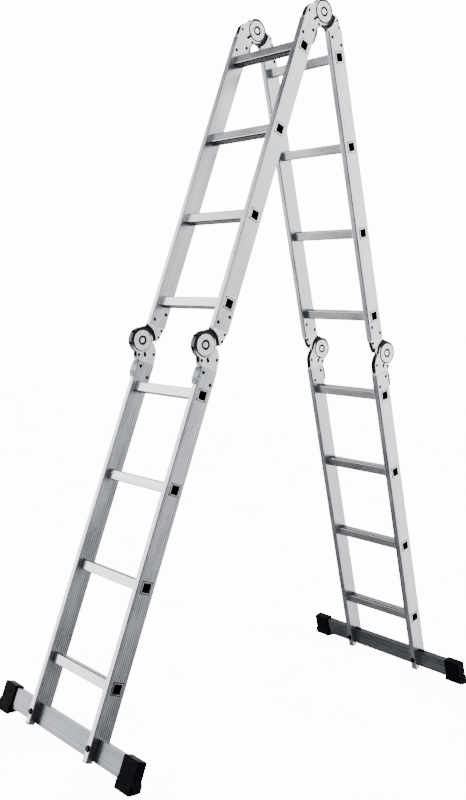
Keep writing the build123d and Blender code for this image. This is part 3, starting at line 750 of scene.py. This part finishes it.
class LADDER_OT_lever_ridges(bpy.types.Operator):
    """Make the grip ridges on the bowed release levers"""
    bl_idname = "ladder.lever_ridges"
    bl_label = "Lever ridges"

    def execute(self, context):
        sizes = context.scene.ladder_sizes
        tree = fitting_tree("grip", ("Length", "Width", "Height", "Pitch"), ("Ridges",), ridge_row)
        inputs = {"Length": LEVER_WIDTH, "Width": sizes.grip_width, "Height": sizes.grip_height,
                  "Pitch": sizes.grip_pitch, "Ridges": 1, "Material": fastener_steel(context.scene)}
        for hinge in HINGES:
            pivot, to_centreline, to_stile = HALVES[f"{hinge}_hinge_outer"]
            for side_name, side in SIDES.items():
                places = []
                for i in range(sizes.grip_ridges):
                    angle = (GRIP_START + i * sizes.grip_pitch) / LEVER_BOW_RADIUS
                    out = LEVER_CREST + LEVER_BOW_RADIUS * (1.0 - math.cos(angle))
                    along = LEVER_CREST_Z + LEVER_BOW_RADIUS * math.sin(angle)
                    point = pivot + to_centreline * out + to_stile * along
                    way = to_stile * math.sin(angle) - to_centreline * math.cos(angle)
                    places.append((Vector((side * STILE_X, point.y, point.z)), way))
                fit(f"{hinge}_lever_ridges_{side_name}", BODY_OF[f"{hinge}_release_lever_{side_name}"],
                    places, tree, inputs)
        return {"FINISHED"}


# ---- the studio ----
def area_light(name, place, aim, size, power):
    """A soft square light at a place, facing a point."""
    data = bpy.data.lights.new(name, "AREA")
    data.size = size
    data.energy = power
    lamp = bpy.data.objects.new(name, data)
    lamp.location = place
    lamp.rotation_euler = (Vector(aim) - Vector(place)).to_track_quat("-Z", "Y").to_euler()
    bpy.context.scene.collection.objects.link(lamp)


def studio_world(yaw):
    """A white sweep behind the ladder in a dim studio: the metal shows its edges by reflecting it."""
    world = bpy.data.worlds.new("studio")
    bpy.context.scene.world = world
    world.use_nodes = True
    world.cycles.sampling_method = "NONE"
    tree = world.node_tree
    tree.nodes.clear()
    way = add_node(tree, "ShaderNodeTexCoord").outputs["Generated"]
    height = add_node(tree, "ShaderNodeSeparateXYZ", {0: way}).outputs["Z"]
    level = add_node(tree, "ShaderNodeVectorMath", {0: way, 1: (1.0, 1.0, 0.0)}, operation="MULTIPLY")
    level = add_node(tree, "ShaderNodeVectorMath", {0: level.outputs[0]}, operation="NORMALIZE")
    middle = (-math.sin(yaw + SWEEP_TURN), math.cos(yaw + SWEEP_TURN), 0.0)
    behind = add_node(tree, "ShaderNodeVectorMath", {0: level.outputs[0], 1: middle}, operation="DOT_PRODUCT")
    behind = behind.outputs["Value"]
    tall = band(tree, height, *SWEEP_HEIGHTS, 0.08)
    edge = math_of(tree, "MULTIPLY_ADD", height, SWEEP_SLANT, behind)
    paper = math_of(tree, "MULTIPLY", step_up(tree, edge, SWEEP_EDGE - 0.1, SWEEP_EDGE + 0.1), tall)
    wall = math_of(tree, "MULTIPLY", step_up(tree, behind, -0.75, -0.35), tall)
    share = math_of(tree, "MULTIPLY_ADD", height, 0.5, 0.5)
    room = ramp(tree, share, [(0.09, linear("#b8b9bb")), (0.18, linear("#66676a")), (0.5, linear("#4a4b4d")),
                              (0.84, linear("#3c3e40")), (1.0, linear("#9a9c9f"))])
    side_wall = ramp(tree, share, [(0.33, linear("#7a7c80")), (0.5, linear("#b4b6ba")),
                                   (0.66, linear("#eceef0"))])
    room = blend_of(tree, wall, room, side_wall)
    room = add_node(tree, "ShaderNodeBackground", {"Color": room, "Strength": 1.0})
    sweep = add_node(tree, "ShaderNodeBackground", {"Color": linear("#fbfcff"), "Strength": SWEEP_STRENGTH})
    studio = add_node(tree, "ShaderNodeMixShader", {0: paper, 1: room.outputs[0], 2: sweep.outputs[0]})
    seen = add_node(tree, "ShaderNodeLightPath").outputs["Is Camera Ray"]
    backdrop = add_node(tree, "ShaderNodeBackground", {"Color": linear("#ffffff"), "Strength": WHITE})
    both = add_node(tree, "ShaderNodeMixShader", {0: seen, 1: studio.outputs[0], 2: backdrop.outputs[0]})
    add_node(tree, "ShaderNodeOutputWorld", {"Surface": both.outputs[0]})


def lit_floor():
    # White acrylic studio floor lit from below: even and almost white.
    material, tree, output = new_material("acrylic_opal_lit_floor")
    coords = add_node(tree, "ShaderNodeTexCoord").outputs["Object"]
    cloud = noise(tree, coords, 400.0 * MM, 2.0, 0.5)
    colour = ramp(tree, cloud, [(0.3, linear("#f4f4f4")), (0.7, linear("#fbfbfb"))])
    shader = add_node(tree, "ShaderNodeBsdfPrincipled",
                      {"Base Color": colour, "Roughness": 0.9, "Specular IOR Level": 0.1,
                       "Emission Color": colour, "Emission Strength": WHITE})
    tree.links.new(shader.outputs["BSDF"], output.inputs["Surface"])
    return material


class LADDER_OT_stage(bpy.types.Operator):
    """Make the floor, the lights and the camera"""
    bl_idname = "ladder.stage"
    bl_label = "Stage, lights and camera"

    def execute(self, context):
        scene = context.scene
        side = FLOOR_SIDE
        mesh = bpy.data.meshes.new("floor")
        corners = [(-side, -side, 0), (side, -side, 0), (side, side, 0), (-side, side, 0)]
        mesh.from_pydata(corners, [], [(0, 1, 2, 3)])
        mesh.materials.append(lit_floor())
        floor = bpy.data.objects.new("floor", mesh)
        scene.collection.objects.link(floor)
        floor.visible_glossy = False
        floor.visible_diffuse = False
        view = scene.ladder_camera
        studio_world(view.yaw)
        area_light("key", (2.6, -3.4, 3.6), (0, 0, 0.9), 1.6, 40.0)
        area_light("rim", (-2.4, 2.6, 3.4), (0, 0, 1.0), 1.6, 30.0)
        data = bpy.data.cameras.new("camera")
        data.lens = view.lens
        data.sensor_width = 36.0
        data.shift_x, data.shift_y = view.shift
        data.clip_end = 60.0
        camera = bpy.data.objects.new("camera", data)
        scene.collection.objects.link(camera)
        flat = math.cos(view.pitch)
        ahead = Vector((-math.sin(view.yaw) * flat, math.cos(view.yaw) * flat, math.sin(view.pitch)))
        right = Vector((math.cos(view.yaw), math.sin(view.yaw), 0.0))
        roll = Matrix.Rotation(-view.roll, 3, ahead)
        right, up = roll @ right, roll @ right.cross(ahead)
        turn = Matrix((right, up, -ahead)).transposed().to_4x4()
        camera.matrix_world = Matrix.Translation(view.place) @ turn
        scene.camera = camera
        return {"FINISHED"}


class LADDER_PT_panel(bpy.types.Panel):
    """Lists the ladder's pieces"""
    bl_label = "Multi position ladder"
    bl_idname = "LADDER_PT_panel"
    bl_space_type = "VIEW_3D"
    bl_region_type = "UI"
    bl_category = "Ladder"

    def draw(self, context):
        scene = context.scene
        for settings in (scene.ladder_sizes, scene.ladder_colours, scene.ladder_camera):
            box = self.layout.box()
            for name in settings.__annotations__:
                box.prop(settings, name)
        for operator in OPERATORS:
            self.layout.operator(operator.bl_idname)


OPERATORS = (
    LADDER_OT_stiles,
    LADDER_OT_rungs,
    LADDER_OT_bars,
    LADDER_OT_hinges,
    LADDER_OT_locks_and_levers,
    LADDER_OT_fasteners,
    LADDER_OT_plugs_and_caps,
    LADDER_OT_tread_ridges,
    LADDER_OT_spot_rivets,
    LADDER_OT_bolt_washers,
    LADDER_OT_lever_ridges,
    LADDER_OT_stage,
)
SETTINGS = {"ladder_colours": LadderColours, "ladder_sizes": LadderSizes, "ladder_camera": LadderCamera}
CLASSES = (*SETTINGS.values(), *OPERATORS, LADDER_PT_panel)


def register():
    for cls in CLASSES:
        bpy.utils.register_class(cls)
    for name, cls in SETTINGS.items():
        setattr(bpy.types.Scene, name, bpy.props.PointerProperty(type=cls))


def unregister():
    for name in SETTINGS:
        delattr(bpy.types.Scene, name)
    for cls in reversed(CLASSES):
        bpy.utils.unregister_class(cls)


def main():
    """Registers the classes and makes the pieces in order."""
    register()
    for operator in OPERATORS:
        family, name = operator.bl_idname.split(".")
        if getattr(getattr(bpy.ops, family), name)() != {"FINISHED"}:
            raise RuntimeError(f"{operator.bl_idname} did not finish")


if __name__ == "__main__":
    main()
